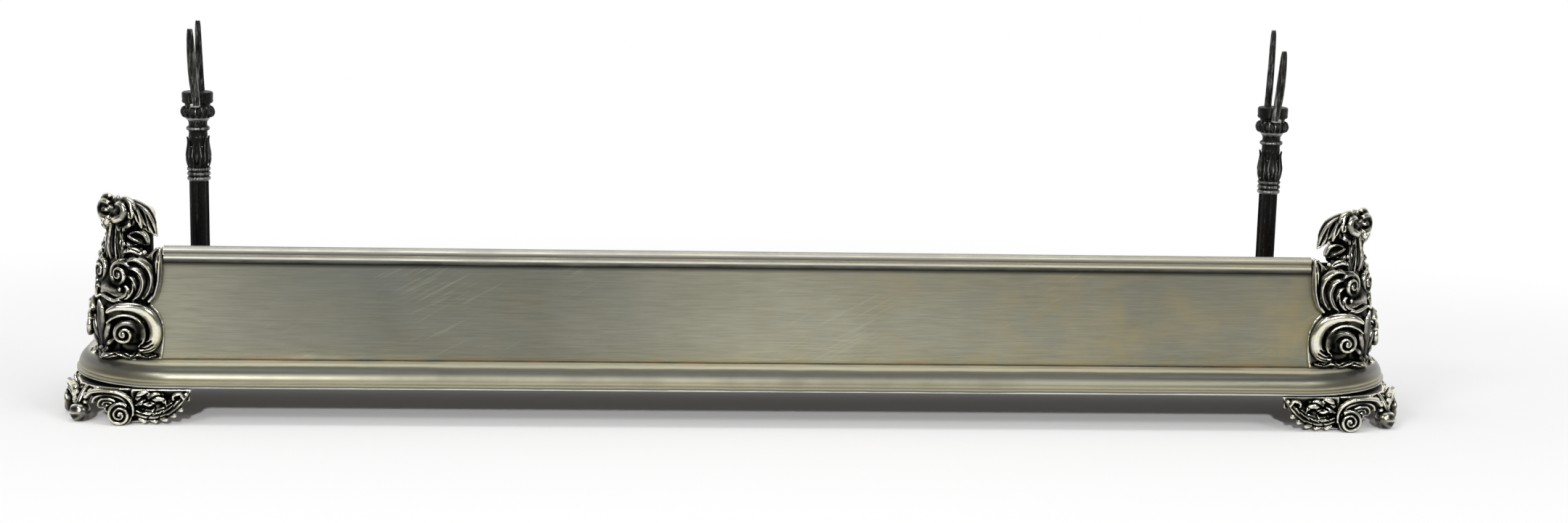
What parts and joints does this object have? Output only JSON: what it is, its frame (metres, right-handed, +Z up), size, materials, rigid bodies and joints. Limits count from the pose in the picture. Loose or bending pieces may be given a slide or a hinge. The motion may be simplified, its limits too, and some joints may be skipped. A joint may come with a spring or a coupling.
{
  "type": "fire fender",
  "caption": "Low steel hearth fender with a plain front, reeded top rail, ogee base bar, cast scroll corners and feet, and upright forked tool rests.",
  "frame": {"origin": "centre of the footprint on the floor, under the middle of the bounding box", "axes": "+X to the right seen from the room, the steel front faces -Y, +Z up"},
  "size_m": [1.3778, 0.1876, 0.3968],
  "materials": {
    "steel": "satin sheet steel with fine horizontal scratches and brown wear",
    "polished": "polished steel, slightly yellowed",
    "casting": "cast iron, high points polished bright",
    "iron": "matt black iron"
  },
  "bodies": {
    "root": {"base_moulding": "polished", "hearth_plate": "iron", "front_panel": "steel", "return_panel_left": "steel", "return_panel_right": "steel", "front_rail": "polished", "return_rail_left": "polished", "return_rail_right": "polished", "front_backing_strip": "iron", "return_backing_strip_left": "iron", "return_backing_strip_right": "iron", "corner_casting_left": "casting", "corner_casting_right": "casting", "front_foot_left": "casting", "front_foot_right": "casting", "rear_foot_left": "iron", "rear_foot_right": "iron", "casting_nut_front_1_left": "iron", "casting_nut_front_1_right": "iron", "casting_nut_return_1_left": "iron", "casting_nut_return_1_right": "iron", "casting_nut_front_2_left": "iron", "casting_nut_front_2_right": "iron", "casting_nut_return_2_left": "iron", "casting_nut_return_2_right": "iron", "front_foot_screw_1_left": "iron", "front_foot_screw_1_right": "iron", "front_foot_screw_2_left": "iron", "front_foot_screw_2_right": "iron", "rear_foot_screw_left": "iron", "rear_foot_screw_right": "iron", "return_end_post_left": "iron", "return_end_post_right": "iron", "end_post_knob_left": "polished", "tool_rest_base_left": "iron", "tool_rest_base_right": "iron", "tool_rest_nut_left": "iron", "tool_rest_nut_right": "iron", "tool_rest_shaft_left": "iron", "tool_rest_shaft_right": "iron", "tool_rest_baluster_left": "iron", "tool_rest_baluster_right": "iron", "tool_rest_knop_left": "iron", "tool_rest_knop_right": "iron", "tool_rest_fork_left": "iron", "tool_rest_fork_right": "iron", "tool_rest_cap_left": "iron", "tool_rest_cap_right": "iron"}
  },
  "joints": []
}
